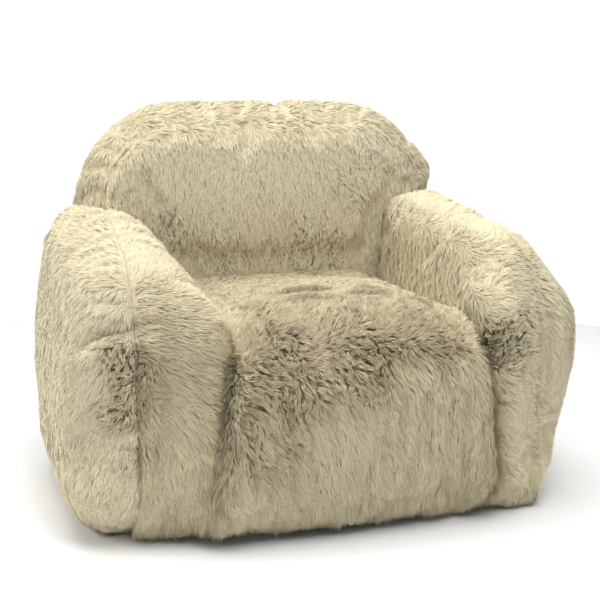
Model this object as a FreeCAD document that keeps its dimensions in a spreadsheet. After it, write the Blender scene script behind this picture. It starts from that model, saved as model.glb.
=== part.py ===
"""Bean bag armchair: four stuffed chambers under a sewn fur cover, with a zip in the back.

Frame: +X to the right in a front view, +Y to the back, +Z up.  The origin is on the floor
under the middle of the chair.  Millimetres.
"""
import FreeCAD, Part
import os
import Sketcher

# Driving dimensions, in millimetres.
DIMENSIONS = {
    # overall
    "half_width": 465,
    "half_depth": 410,
    "total_height": 735,
    # layers
    "base_thickness": 2.5,
    "floor_gap": 0.5,
    "cover_thickness": 18,
    "liner_thickness": 1.5,
    "fit_gap": 0.5,
    "chamber_gap": 0.4,
    "seam_gap": 0.5,
    "overcut": 1,
    "hem_height": 15,
    # seat
    "seat_half_width": 234,
    "seat_height": 405,
    "seat_toe_round": 110,
    "seat_brow_round": 165,
    "seat_side_round": 42,
    # arms
    "arm_setback": 38,
    "arm_lean": 14,
    "arm_front_height": 475,
    "arm_rear_height": 542,
    "arm_toe_round": 118,
    "arm_brow_round": 175,
    "arm_inner_round": 58,
    "arm_outer_round": 100,
    "arm_seam_front": 378,
    "arm_seam_rear": 330,
    "arm_overlap": 55,
    # backrest
    "back_face": 158,
    "back_foot_half_width": 450,
    "back_top_half_width": 380,
    "back_foot_round": 122,
    "back_top_round": 225,
    "back_face_round": 100,
    "back_front_seam": 35,
    "back_rear_seam": 70,
    # base panel
    "base_margin": 125,
    "base_corner_round": 60,
    # zip
    "zip_height": 110,
    "zip_half_length": 285,
    "zip_slot_half": 15,
    "zip_seam_gap": 1.2,
    "tape_depth": 11,
    "tape_thickness": 1,
    "coil_gap": 1.4,
    "coil_width": 2.3,
    "coil_height": 2,
    "stop_length": 4,
    "stop_margin": 6,
    "slider_length": 15,
    "slider_half_width": 5.6,
    "slider_plate": 1.5,
    "slider_bridge": 0.6,
    "slider_bridge_length": 5,
    "slider_lip": 0.9,
    "slider_clearance": 0.4,
    # care label
    "label_start": 297,
    "label_width": 25,
    "label_drop": 42,
    "label_tuck": 12,
    "label_thickness": 0.8,
    "label_stand_off": 0.3,
}

document = FreeCAD.newDocument("bean_bag_armchair")
sheet = document.addObject("Spreadsheet::Sheet", "Dims")
for row, (alias, size) in enumerate(DIMENSIONS.items(), start=1):
    sheet.set(f"A{row}", alias)
    sheet.set(f"B{row}", str(size))
    sheet.setAlias(f"B{row}", alias)
document.recompute()

TOLERANCE = 1e-4
CUBIC_MM_PER_LITRE = 1e6

# Each stuffed chamber is drawn several times, one inside the other.  A level gives how far it
# lies inside the chamber's envelope: first on furred faces, then on hidden faces and underneath.
LINER = "Dims.cover_thickness + Dims.fit_gap"
INSIDE = "Dims.liner_thickness"
FILL = "Dims.liner_thickness + Dims.fit_gap"
LEVELS = {
    "envelope": ("0", "0"),
    "cavity": ("Dims.cover_thickness", "-Dims.overcut"),
    "liner_outside": (LINER, "0"),
    "liner_inside": (f"{LINER} + {INSIDE}", INSIDE),
    "fill": (f"{LINER} + {FILL}", FILL),
}

FLOOR = "Dims.base_thickness + Dims.floor_gap"
ARM_INNER = "Dims.seat_half_width + Dims.chamber_gap"
SEAT_REAR = "Dims.back_face - Dims.chamber_gap"
ARM_REAR = "Dims.back_face + Dims.arm_overlap"
ARM_FRONT = "-Dims.half_depth + Dims.arm_setback"
REAR_FACE = "Dims.half_depth - Dims.label_thickness - Dims.label_stand_off"
TAPE_FACE = f"{REAR_FACE} - Dims.tape_depth"


def value(expression):
    """The number that an expression on the sheet comes to."""
    return float(sheet.evalExpression(expression))


def edge_names(shape, wanted):
    """Names of a shape's edges for which wanted(edge) is true."""
    return [f"Edge{number}" for number, edge in enumerate(shape.Edges, start=1) if wanted(edge)]


def polygon_sketch(body, role, corners, offset="0"):
    """A closed polygon on one of the body's origin planes, its corners bound to the sheet."""
    sketch = body.newObject("Sketcher::SketchObject", f"{body.Name}_outline")
    plane = next(feature for feature in body.Origin.OriginFeatures if feature.Role == role)
    sketch.AttachmentSupport = (plane, "")
    sketch.MapMode = "FlatFace"
    sketch.setExpression("AttachmentOffset.Base.z", offset)
    points = [FreeCAD.Vector(value(u), value(v), 0) for u, v in corners]
    count = len(points)
    for index in range(count):
        sketch.addGeometry(Part.LineSegment(points[index], points[(index + 1) % count]), False)
    for index in range(count):
        sketch.addConstraint(Sketcher.Constraint("Coincident", index, 2, (index + 1) % count, 1))
    for index, corner in enumerate(corners):
        for kind, expression in zip(("DistanceX", "DistanceY"), corner):
            bind_distance(sketch, kind, index, expression)
    return sketch


def bind_distance(sketch, kind, index, expression):
    """Hold a corner's distance from the sketch origin to an expression, whatever its sign."""
    distance = value(expression)
    if distance < 0:
        constraint = Sketcher.Constraint(kind, index, 1, -1, 1, -distance)
        expression = f"-({expression})"
    else:
        constraint = Sketcher.Constraint(kind, -1, 1, index, 1, distance)
    number = sketch.addConstraint(constraint)
    sketch.setExpression(f"Constraints[{number}]", expression)


def pad(body, sketch, length, backwards=False):
    """Pad a sketch by a length from the sheet."""
    feature = body.newObject("PartDesign::Pad", f"{body.Name}_pad")
    feature.Profile = sketch
    feature.Reversed = backwards
    feature.setExpression("Length", length)
    sketch.Visibility = False
    document.recompute()
    return feature


def fillet(body, wanted, radius):
    """Round the wanted edges of the body's newest feature."""
    base = body.Tip
    feature = body.newObject("PartDesign::Fillet", f"{body.Name}_round")
    feature.Base = (base, edge_names(base.Shape, wanted))
    feature.setExpression("Radius", radius)
    document.recompute()
    return feature


def at(edge, axis, position):
    """True when the whole edge lies at one position along an axis (x, y or z)."""
    place = value(position)
    return all(abs(getattr(vertex.Point, axis) - place) < TOLERANCE for vertex in edge.Vertexes)


def through(edge, corner, axes):
    """True when the edge runs square to the profile through one of its corners."""
    spots = [tuple(getattr(vertex.Point, axis) for axis in axes) for vertex in edge.Vertexes]
    corner_spot = [value(expression) for expression in corner]
    return len(spots) == 2 and all(
        abs(spot[i] - corner_spot[i]) < TOLERANCE for spot in spots for i in range(2)
    )


def chamber(name, role, corners, rounds, start, length, side_rounds, hidden=None):
    """One level of a stuffed chamber: profile, pad, rounded profile corners, rounded sides."""
    across, axes = {"YZ_Plane": ("x", "yz"), "XZ_Plane": ("y", "xz")}[role]
    backwards = role == "XZ_Plane"
    offset = f"-({start})" if backwards else start
    body = document.addObject("PartDesign::Body", name)
    body.Label = name
    pad(body, polygon_sketch(body, role, corners, offset), length, backwards)
    for number, radius in rounds.items():
        corner = corners[number]
        fillet(body, lambda edge: through(edge, corner, axes), radius)
    for side, radius in zip((start, f"{start} + {length}"), side_rounds):

        def outline(edge):
            covered = hidden is None or not at(edge, *hidden)
            return covered and at(edge, across, side)

        fillet(body, outline, radius)
    return body


def seat_level(level):
    """The seat chamber: only its top and front are furred, its sides and rear are hidden."""
    skin, bare = LEVELS[level]
    front = f"-Dims.half_depth + {skin}"
    rear = f"{SEAT_REAR} - ({bare})"
    corners = [
        (front, f"{FLOOR} + ({bare})"),
        (front, f"Dims.seat_height - ({skin})"),
        (rear, f"Dims.seat_height - ({skin})"),
        (rear, f"{FLOOR} + ({bare})"),
    ]
    rounds = {0: f"Dims.seat_toe_round - ({skin})", 1: f"Dims.seat_brow_round - ({skin})"}
    half = f"Dims.seat_half_width - ({bare})"
    side_round = f"Dims.seat_side_round - ({bare})"
    if level == "liner_outside":
        side_round = "Dims.seat_side_round - Dims.fit_gap"
    return chamber(
        f"seat_{level}", "YZ_Plane", corners, rounds, f"-({half})", f"2 * ({half})",
        (side_round, side_round), hidden=("y", rear),
    )


def arm_level(level):
    """The right arm: furred all round, its hidden rear end shaped to the backrest's front edge."""
    skin, bare = LEVELS[level]
    front = f"{ARM_FRONT} + {skin}"
    rear = f"{ARM_REAR} - ({bare})"
    corners = [
        (front, f"{FLOOR} + ({bare})"),
        (f"{front} + Dims.arm_lean", f"Dims.arm_front_height - ({skin})"),
        (rear, f"Dims.arm_rear_height - ({skin})"),
        (rear, f"{FLOOR} + ({bare})"),
    ]
    rounds = {0: f"Dims.arm_toe_round - ({skin})", 1: f"Dims.arm_brow_round - ({skin})"}
    inner = f"{ARM_INNER} + {skin}"
    outer = f"Dims.half_width - ({skin})"
    blank = chamber(
        f"arm_{level}_blank", "YZ_Plane", corners, rounds, inner, f"{outer} - ({inner})",
        (f"Dims.arm_inner_round - ({skin})", f"Dims.arm_outer_round - ({skin})"),
        hidden=("y", rear),
    )
    clearance = f"-Dims.chamber_gap - ({bare})"
    return cut(f"arm_{level}", blank, back_form(f"arm_{level}_rear_shape", clearance, clearance))


def back_form(name, skin, bare):
    """The backrest's shape, drawn in or out from its envelope."""
    foot = f"Dims.back_foot_half_width - ({skin})"
    top = f"Dims.back_top_half_width - ({skin})"
    corners = [
        (foot, f"{FLOOR} + ({bare})"),
        (top, f"Dims.total_height - ({skin})"),
        (f"-({top})", f"Dims.total_height - ({skin})"),
        (f"-({foot})", f"{FLOOR} + ({bare})"),
    ]
    rounds = {
        0: f"Dims.back_foot_round - ({skin})",
        1: f"Dims.back_top_round - ({skin})",
        2: f"Dims.back_top_round - ({skin})",
        3: f"Dims.back_foot_round - ({skin})",
    }
    front = f"Dims.back_face + ({skin})"
    rear = f"{REAR_FACE} - ({skin})"
    face_round = f"Dims.back_face_round - ({skin})"
    return chamber(
        name, "XZ_Plane", corners, rounds, front, f"{rear} - ({front})",
        (face_round, face_round),
    )


def back_level(level):
    """The backrest: furred all round, from the floor to the top."""
    return back_form(f"backrest_{level}", *LEVELS[level])


def block(name, low, high):
    """A box between two corners, each given as three expressions."""
    box = document.addObject("Part::Box", name)
    box.Label = name
    for axis, side, bottom, top in zip("xyz", ("Length", "Width", "Height"), low, high):
        box.setExpression(f"Placement.Base.{axis}", bottom)
        box.setExpression(side, f"{top} - ({bottom})")
    return box


def prism(name, outline, bottom, top):
    """An upright prism over a polygon in plan."""
    body = document.addObject("PartDesign::Body", name)
    body.Label = name
    pad(body, polygon_sketch(body, "XY_Plane", outline, bottom), f"{top} - ({bottom})")
    return body


def cut(name, base, tool):
    """The base less the tool."""
    feature = document.addObject("Part::Cut", name)
    feature.Label = name
    feature.Base = base
    feature.Tool = tool
    return feature


def common(name, base, tool):
    """What the base and the tool share."""
    feature = document.addObject("Part::Common", name)
    feature.Label = name
    feature.Base = base
    feature.Tool = tool
    return feature


def fuse(name, shapes):
    """Several shapes as one."""
    feature = document.addObject("Part::MultiFuse", name)
    feature.Label = name
    feature.Shapes = shapes
    return feature


def mirrored(name, source):
    """The same piece on the other side of the chair."""
    feature = document.addObject("Part::Mirroring", name)
    feature.Label = name
    feature.Source = source
    feature.Base = FreeCAD.Vector(0, 0, 0)
    feature.Normal = FreeCAD.Vector(1, 0, 0)
    return feature


def stuffing(prefix, make_level):
    """A chamber's cover shell, its closed inner bag and the filling in the bag."""
    shell = cut(f"{prefix}_shell", make_level("envelope"), make_level("cavity"))
    liner = cut(f"{prefix}_liner", make_level("liner_outside"), make_level("liner_inside"))
    fill = make_level("fill")
    return shell, liner, fill


HEM = "Dims.hem_height"
ABOVE = "Dims.total_height + Dims.overcut"
SIDE = "Dims.half_width + Dims.overcut"
AHEAD = "-Dims.half_depth - Dims.overcut"
BEHIND = "Dims.half_depth + Dims.overcut"
nodes = {}


def make_seat():
    """Seat panel, bag and filling."""
    shell, nodes["seat_liner"], nodes["seat_fill"] = stuffing("seat", seat_level)
    reach = block("seat_reach", (f"-({SIDE})", AHEAD, HEM), (SIDE, BEHIND, ABOVE))
    nodes["seat_front_panel"] = common("seat_front_panel", shell, reach)


def make_arms():
    """Inner and outer panels, bag and filling of each arm; the seam splays to the front."""
    shell, liner, fill = stuffing("arm", arm_level)
    half_seam = "Dims.seam_gap / 2"
    inner_edge = f"{ARM_INNER} - Dims.overcut"
    past_rear = f"{ARM_REAR} + Dims.overcut"
    inner_reach = prism(
        "arm_inner_reach",
        [
            (inner_edge, AHEAD),
            (f"Dims.arm_seam_front - {half_seam}", AHEAD),
            (f"Dims.arm_seam_rear - {half_seam}", past_rear),
            (inner_edge, past_rear),
        ],
        HEM, ABOVE,
    )
    outer_reach = prism(
        "arm_outer_reach",
        [
            (f"Dims.arm_seam_front + {half_seam}", AHEAD),
            (SIDE, AHEAD),
            (SIDE, past_rear),
            (f"Dims.arm_seam_rear + {half_seam}", past_rear),
        ],
        HEM, ABOVE,
    )
    right = {
        "inner_panel": common("right_arm_inner_panel", shell, inner_reach),
        "outer_panel": common("right_arm_outer_panel", shell, outer_reach),
        "liner": liner,
        "fill": fill,
    }
    liner.Label = "right_arm_liner"
    fill.Label = "right_arm_fill"
    for piece, feature in right.items():
        nodes[f"right_arm_{piece}"] = feature
        nodes[f"left_arm_{piece}"] = mirrored(f"left_arm_{piece}", feature)


def make_backrest():
    """Front panel, gusset band, rear panel and rear skirt, bag and filling."""
    shell, nodes["backrest_liner"], nodes["backrest_fill"] = stuffing("backrest", back_level)
    front_seam = "Dims.back_face + Dims.back_front_seam"
    rear_seam = f"{REAR_FACE} - Dims.back_rear_seam"
    half_seam = "Dims.seam_gap / 2"
    half_zip_seam = "Dims.zip_seam_gap / 2"
    bands = {
        "backrest_front_panel": (AHEAD, f"{front_seam} - {half_seam}", HEM, ABOVE),
        "backrest_gusset": (
            f"{front_seam} + {half_seam}", f"{rear_seam} - {half_seam}", HEM, ABOVE,
        ),
        "backrest_rear_panel": (
            f"{rear_seam} + {half_seam}", BEHIND, f"Dims.zip_height + {half_zip_seam}", ABOVE,
        ),
        "rear_skirt_panel": (
            f"{rear_seam} + {half_seam}", BEHIND, HEM, f"Dims.zip_height - {half_zip_seam}",
        ),
    }
    slot = block(
        "zip_slot",
        ("-Dims.zip_half_length", f"{rear_seam}", "Dims.zip_height - Dims.zip_slot_half"),
        ("Dims.zip_half_length", BEHIND, "Dims.zip_height + Dims.zip_slot_half"),
    )
    for name, (front, rear, bottom, top) in bands.items():
        reach = block(f"{name}_reach", (f"-({SIDE})", front, bottom), (SIDE, rear, top))
        if name in ("backrest_rear_panel", "rear_skirt_panel"):
            nodes[name] = cut(name, common(f"{name}_uncut", shell, reach), slot)
        else:
            nodes[name] = common(name, shell, reach)


def make_base():
    """The flat cloth that the chair stands on."""
    body = document.addObject("PartDesign::Body", "base_panel")
    side = "Dims.half_width - Dims.base_margin"
    end = "Dims.half_depth - Dims.base_margin"
    outline = [(f"-({side})", f"-({end})"), (side, f"-({end})"), (side, end), (f"-({side})", end)]
    pad(body, polygon_sketch(body, "XY_Plane", outline), "Dims.base_thickness")

    def upright(edge):
        low, high = sorted(vertex.Point.z for vertex in edge.Vertexes)
        return high - low > TOLERANCE

    fillet(body, upright, "Dims.base_corner_round")
    nodes["base_panel"] = body


def make_zip():
    """Two tapes, two rows of coil, end stops and the slider that runs along them."""
    centre = "Dims.zip_height"
    inner = "Dims.coil_gap / 2"
    outer = "Dims.coil_gap / 2 + Dims.coil_width"
    coil_end = "Dims.zip_half_length - Dims.stop_margin - Dims.stop_length"
    stop_end = "Dims.zip_half_length - Dims.stop_margin"
    coil_face = f"{TAPE_FACE} + Dims.coil_height"
    tape_back = f"{TAPE_FACE} - Dims.tape_thickness"
    edge = "Dims.zip_slot_half"
    nodes["zip_tape_upper"] = block(
        "zip_tape_upper",
        ("-Dims.zip_half_length", tape_back, f"{centre} + {inner}"),
        ("Dims.zip_half_length", TAPE_FACE, f"{centre} + {edge}"),
    )
    nodes["zip_tape_lower"] = block(
        "zip_tape_lower",
        ("-Dims.zip_half_length", tape_back, f"{centre} - {edge}"),
        ("Dims.zip_half_length", TAPE_FACE, f"{centre} - {inner}"),
    )
    rows = []
    for name, low, high in (
        ("upper", f"{centre} + {inner}", f"{centre} + {outer}"),
        ("lower", f"{centre} - ({outer})", f"{centre} - {inner}"),
    ):
        rows.append(
            block(
                f"zip_coil_{name}",
                (f"-({coil_end})", TAPE_FACE, low),
                (coil_end, coil_face, high),
            )
        )
    nodes["zip_coil"] = fuse("zip_coil", rows)
    stops = []
    for name, start, end in (
        ("left", f"-({stop_end})", f"-({coil_end})"),
        ("right", coil_end, stop_end),
    ):
        stops.append(
            block(
                f"zip_stop_{name}",
                (start, TAPE_FACE, f"{centre} - ({outer})"),
                (end, coil_face, f"{centre} + {outer}"),
            )
        )
    nodes["zip_end_stops"] = fuse("zip_end_stops", stops)
    make_slider(centre, coil_end, coil_face, tape_back)


def make_slider(centre, coil_end, coil_face, tape_back):
    """The slider at the closed end: two plates joined by a bridge between the coil rows."""
    front_end = f"{coil_end} - Dims.slider_clearance"
    rear_end = f"{front_end} - Dims.slider_length"
    low = f"{centre} - Dims.slider_half_width"
    high = f"{centre} + Dims.slider_half_width"
    cap_face = f"{coil_face} + Dims.slider_clearance"
    under_face = f"{tape_back} - Dims.slider_clearance"
    lip_face = f"{TAPE_FACE} + Dims.slider_clearance"
    bridge_start = f"{front_end} - Dims.slider_bridge_length"
    bridge_low = f"{centre} - Dims.slider_bridge / 2"
    bridge_high = f"{centre} + Dims.slider_bridge / 2"
    cap_top = f"{cap_face} + Dims.slider_plate"
    sole_base = f"{under_face} - Dims.slider_plate"
    pieces = [
        block("slider_cap", (rear_end, cap_face, low), (front_end, cap_top, high)),
        block("slider_sole", (rear_end, sole_base, low), (front_end, under_face, high)),
        block(
            "slider_bridge",
            (bridge_start, under_face, bridge_low),
            (front_end, cap_face, bridge_high),
        ),
        block(
            "slider_lip_lower",
            (rear_end, lip_face, low),
            (front_end, cap_face, f"{low} + Dims.slider_lip"),
        ),
        block(
            "slider_lip_upper",
            (rear_end, lip_face, f"{high} - Dims.slider_lip"),
            (front_end, cap_face, high),
        ),
    ]
    nodes["zip_slider"] = fuse("zip_slider", pieces)


def make_label():
    """A folded care label: tucked into the seam beside the zip, hanging down from it."""
    body = document.addObject("PartDesign::Body", "care_label")
    outside = "Dims.half_depth"
    inside = f"{outside} - Dims.label_thickness"
    top = "Dims.zip_height + Dims.label_thickness / 2"
    under = "Dims.zip_height - Dims.label_thickness / 2"
    corners = [
        (outside, top),
        (f"{outside} - Dims.label_tuck", top),
        (f"{outside} - Dims.label_tuck", under),
        (inside, under),
        (inside, f"{top} - Dims.label_drop"),
        (outside, f"{top} - Dims.label_drop"),
    ]
    pad(body, polygon_sketch(body, "YZ_Plane", corners, "Dims.label_start"), "Dims.label_width")
    nodes["care_label"] = body


def check_and_export():
    """Stop on any failed feature or bad shape, then write one file for each node."""
    document.recompute()
    for feature in document.Objects:
        if {"Invalid", "Error"} & set(feature.State):
            raise RuntimeError(f"{feature.Name} failed: {feature.State}")
    for name, feature in nodes.items():
        feature.Label = name
        shape = feature.Shape
        if shape.isNull() or not shape.isValid() or not shape.Solids:
            raise RuntimeError(f"{name} has no valid solid")
    os.makedirs("parts", exist_ok=True)
    for name, feature in nodes.items():
        feature.Shape.exportStep(f"parts/{name}.step")
        litres = feature.Shape.Volume / CUBIC_MM_PER_LITRE
        print(f"{name:24s} solids {len(feature.Shape.Solids)}  litres {litres:8.4f}")


make_seat()
make_arms()
make_backrest()
make_base()
make_zip()
make_label()
check_and_export()
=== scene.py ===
"""Fur bean bag armchair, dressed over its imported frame.

Four stuffed chambers (seat, two arms, backrest) are swollen fabric forms with a furrow along
every seam.  Each panel of the cover is a skin of its own with a pile of combed hair blades.
Metres: +X to the right in a front view, +Y to the back, +Z up, origin on the floor.
"""
import math

import bmesh
import bpy
import numpy as np
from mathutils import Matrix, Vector
from mathutils.bvhtree import BVHTree
from mathutils.kdtree import KDTree


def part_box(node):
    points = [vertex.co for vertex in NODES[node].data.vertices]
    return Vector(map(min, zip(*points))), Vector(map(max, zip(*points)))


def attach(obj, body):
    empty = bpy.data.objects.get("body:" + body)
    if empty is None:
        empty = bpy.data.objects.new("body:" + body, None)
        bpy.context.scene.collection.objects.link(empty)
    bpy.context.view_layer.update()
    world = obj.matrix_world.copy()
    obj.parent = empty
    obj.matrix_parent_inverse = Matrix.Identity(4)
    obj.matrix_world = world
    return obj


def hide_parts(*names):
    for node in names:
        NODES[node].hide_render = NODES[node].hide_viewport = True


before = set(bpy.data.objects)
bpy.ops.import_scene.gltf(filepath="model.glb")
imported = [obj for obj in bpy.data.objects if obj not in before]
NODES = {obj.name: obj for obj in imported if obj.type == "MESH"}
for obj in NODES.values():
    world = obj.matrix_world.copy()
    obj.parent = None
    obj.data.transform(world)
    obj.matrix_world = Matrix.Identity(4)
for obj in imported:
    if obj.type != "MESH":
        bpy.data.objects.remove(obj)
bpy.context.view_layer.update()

CHAIR = "chair"
SLIDER = "slider"
CHAMBERS = ("seat", "left_arm", "right_arm", "backrest")

# Skin forms
VOXEL = 0.012
SKIN_RISE = 0.008  # the skin is shaped and swollen this far outside the CAD stuffing
SKIN_TUCK = 0.006  # and then drawn in by this much
NEIGHBOUR_GAP = 0.002
NEIGHBOUR_REACH = 0.12  # a chamber nearer than this limits how far the skin may move
FREE_STEP = 0.06  # how far it may move elsewhere
SWELL_FRAMES = 20
SWELL_PRESSURE = 4.0
SWELL_CAP = 0.01
SEAM_HOLD = 0.45  # how firmly the seams hold the fabric as it swells
ARM_FURROW = 0.003
BACK_FURROW = 0.0015
LOWEST_SKIN = 0.005
HEM_LIFT = 0.02  # how far the seat's front hangs off the floor at its left
FURROW_WIDTH = 0.012
SKIN_THICKNESS = 0.0015
LINER_DEPTH = 0.007  # how far the inner bag lies under the skin
STUFFING_DEPTH = 0.011

# Pile
BLADES_PER_SQUARE_METRE = 240000
BLADE_WIDTH = 0.0014
BLADE_LENGTH = 0.024
LEAN_AT_ROOT = math.radians(60)
LEAN_AT_TIP = math.radians(85)
BLADES_PER_TUFT = 12
TUFT_PULL = 0.14  # on smooth pile; ruffled pile clumps harder
RUFFLED_PULL = 0.34
BLADE_RELIEF = 0.3  # how much each blade's own facing shows in its shading
ROOT_DEPTH = 0.001
FLOOR_CLEARANCE = 0.001
ZIP_TRIM = 0.03  # the pile is trimmed this far round the zip
SHORTEST = 0.22
CROWD_REACH = 0.05  # the pile stands up, and is painted lighter as painted light, where another chamber is nearer than this

MIDDLE_TONE = 3.6  # among the tips' tones, from darkest to lightest
ROOT_TONES = 4
TIP_TONES = 6
BLADES_PER_PIECE = 65000


# ---- helpers

LATTICE = 32


def noise(points, size, seed):
    """Smooth noise from -1 to 1 with features of about the given size."""
    lattice = np.random.default_rng(seed).uniform(-1, 1, (LATTICE,) * 3)
    cell = points / size
    low = np.floor(cell).astype(int)
    part = cell - low
    part = part * part * (3 - 2 * part)
    total = np.zeros(len(points))
    for corner in np.ndindex(2, 2, 2):
        index = (low + corner) % LATTICE
        weight = np.prod(np.where(corner, part, 1 - part), axis=1)
        total += weight * lattice[index[:, 0], index[:, 1], index[:, 2]]
    return total


def rise(values, low, high):
    """0 below low, 1 above high, and an S-curve between them."""
    part = np.clip((values - low) / (high - low), 0, 1)
    return part * part * (3 - 2 * part)


def fall(values, low, high):
    """1 below low, 0 above high, and an S-curve between them."""
    return 1 - rise(values, low, high)


def bump(values, centre, spread):
    """A bell of height 1 at the centre."""
    return np.exp(-(((values - centre) / spread) ** 2))


def unit(vectors):
    """Each row at length 1."""
    return vectors / np.maximum(np.linalg.norm(vectors, axis=1, keepdims=True), 1e-9)


def capped(vectors, most):
    """Each row shortened to the most that it may be."""
    length = np.linalg.norm(vectors, axis=1)
    return vectors * np.minimum(1, most / np.maximum(length, 1e-9))[:, None]


def rows_of(mesh, kind="co"):
    """A mesh's points as rows, or their smooth normals."""
    values = np.empty(len(mesh.vertices) * 3)
    mesh.vertices.foreach_get(kind, values)
    return values.reshape(-1, 3)


def move_points(mesh, points):
    mesh.vertices.foreach_set("co", points.ravel())
    mesh.update()


def link(name, data):
    """A new object in the scene."""
    piece = bpy.data.objects.new(name, data)
    bpy.context.scene.collection.objects.link(piece)
    return piece


def applied(piece):
    """The piece's mesh with its modifiers applied, in place of the piece."""
    graph = bpy.context.evaluated_depsgraph_get()
    mesh = bpy.data.meshes.new_from_object(piece.evaluated_get(graph), depsgraph=graph)
    bpy.data.objects.remove(piece)
    return mesh


def smooth_shaded(mesh):
    mesh.polygons.foreach_set("use_smooth", np.ones(len(mesh.polygons), bool))
    mesh.update()


def tree_of(mesh):
    """A search tree over a mesh's faces."""
    return BVHTree.FromPolygons(
        [vertex.co for vertex in mesh.vertices],
        [tuple(face.vertices) for face in mesh.polygons],
    )


# ---- materials

CREAM_TIPS = ((0.42, 0.35, 0.218), (0.53, 0.45, 0.29), (0.63, 0.55, 0.362),
              (0.71, 0.632, 0.431), (0.78, 0.708, 0.498), (0.84, 0.772, 0.566))
TAUPE_ROOTS = ((0.19, 0.143, 0.088), (0.33, 0.265, 0.165), (0.5, 0.422, 0.273),
               (0.68, 0.6, 0.4))


def new_material(name, roughness, looks=()):
    """A node material whose shader has the given looks."""
    material = bpy.data.materials.new(name)
    material.use_nodes = True
    shader = material.node_tree.nodes["Principled BSDF"]
    for socket, value in (("Roughness", roughness), *looks):
        shader.inputs[socket].default_value = value
    return material


def texture(material, kind, **settings):
    """A texture node in object coordinates, which are the frame's own metres."""
    tree = material.node_tree
    made = tree.nodes.new(kind)
    for name, setting in settings.items():
        made.inputs[name.title()].default_value = setting
    place = tree.nodes.new("ShaderNodeTexCoord").outputs["Object"]
    tree.links.new(place, made.inputs["Vector"])
    return made


def patterned(material, source, dark, light, places=(0.3, 0.7), relief=None):
    """Colour a material between two tones by a pattern, which raises it too if asked."""
    tree = material.node_tree
    shader = tree.nodes["Principled BSDF"]
    ramp = tree.nodes.new("ShaderNodeValToRGB")
    for element, place, colour in zip(ramp.color_ramp.elements, places, (dark, light)):
        element.position = place
        element.color = (*colour, 1)
    tree.links.new(source, ramp.inputs["Fac"])
    tree.links.new(ramp.outputs["Color"], shader.inputs["Base Color"])
    if relief:
        raised = tree.nodes.new("ShaderNodeBump")
        for socket, value in zip(("Strength", "Distance"), relief):
            raised.inputs[socket].default_value = value
        tree.links.new(source, raised.inputs["Height"])
        tree.links.new(raised.outputs["Normal"], shader.inputs["Normal"])
    return material


def hair_material(name, colour):
    """Acrylic hair: matt, with a soft sheen and hardly any mirror gloss."""
    return new_material(name, 0.72, (
        ("Base Color", (*colour, 1)), ("Specular IOR Level", 0.22), ("Sheen Weight", 0.22),
        ("Sheen Roughness", 0.5), ("Sheen Tint", (1.0, 0.96, 0.86, 1)),
    ))


def backing_material():
    """The knitted backing that the pile stands in, taupe with cream flecks."""
    material = new_material("fur_backing", 0.9, (("Sheen Weight", 0.2),))
    flecks = texture(material, "ShaderNodeTexNoise", scale=160.0, detail=3.0, roughness=0.6)
    return patterned(material, flecks.outputs["Fac"], TAUPE_ROOTS[2], CREAM_TIPS[3],
                     (0.35, 0.75), relief=(0.6, 0.002))


def weave_material(name, dark, light, pitch, roughness=0.85):
    """A plain weave: two crossed sets of ribs at the given pitch."""
    material = new_material(name, roughness)
    tree = material.node_tree
    mix = tree.nodes.new("ShaderNodeMath")
    mix.operation = "MULTIPLY"
    for axis, socket in zip(("X", "Z"), mix.inputs):
        scale = math.pi / (10 * pitch)
        wave = texture(material, "ShaderNodeTexWave", scale=scale, distortion=0.4)
        wave.bands_direction = axis
        tree.links.new(wave.outputs["Fac"], socket)
    return patterned(material, mix.outputs[0], dark, light, (0.05, 0.6), relief=(0.5, pitch / 4))


def bead_material():
    """White foam beads seen as close-packed round cells, greyer towards each cell's edge: painted
    shade between the beads.
    """
    material = new_material("foam_beads", 0.8)
    cells = texture(material, "ShaderNodeTexVoronoi", scale=260.0).outputs["Distance"]
    return patterned(material, cells, (0.88, 0.87, 0.84), (0.55, 0.54, 0.52), relief=(0.8, 0.002))


def hard_material(name, colour, roughness, metallic=0):
    """Moulded plastic with a faint mottle, or metal, slightly worn."""
    material = new_material(name, roughness, (("Metallic", metallic),))
    scale, shade, relief = (900.0, 0.8, (0.15, 0.0002)) if metallic else (300.0, 0.85, None)
    mottle = texture(material, "ShaderNodeTexNoise", scale=scale, detail=2.0).outputs["Fac"]
    return patterned(material, mottle, [c * shade for c in colour], colour, relief=relief)


# ---- chamber forms


def box_of(name):
    """A node's low and high corners as arrays."""
    low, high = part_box(name)
    return np.array(low), np.array(high)


(_, ARM_FRONT, _), (ARM_SEAM_FRONT, ARM_REAR, _) = box_of("right_arm_inner_panel")
ARM_SEAM_REAR = box_of("right_arm_outer_panel")[0][0]
BACK_HALF_WIDTH, BACK_FRONT_SEAM = box_of("backrest_front_panel")[1][:2]
SEAT_HALF_WIDTH = box_of("seat_front_panel")[1][0]
_, BACK_REAR_SEAM, REAR_BOTTOM = box_of("backrest_rear_panel")[0]
ZIP_HEIGHT = (box_of("rear_skirt_panel")[1][2] + REAR_BOTTOM) / 2


def arm_seam_x(y):
    """How far out the seam of an arm's two panels runs, at a depth y."""
    part = (y - ARM_FRONT) / (ARM_REAR - ARM_FRONT)
    return ARM_SEAM_FRONT + (ARM_SEAM_REAR - ARM_SEAM_FRONT) * part


def seam_distances(chamber, points):
    """Distance of each point from each seam of the chamber."""
    x, y, z = points.T
    if chamber.endswith("arm"):
        return [np.abs(x) - arm_seam_x(y)]
    if chamber == "backrest":
        past_rear = np.maximum(BACK_REAR_SEAM - y, 0)
        return [y - BACK_FRONT_SEAM, y - BACK_REAR_SEAM, np.hypot(z - ZIP_HEIGHT, past_rear)]
    return []


def copied(points):
    """A copy of rows of points, and the copy's columns to move them by."""
    moved = points.copy()
    return moved, moved.T


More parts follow.
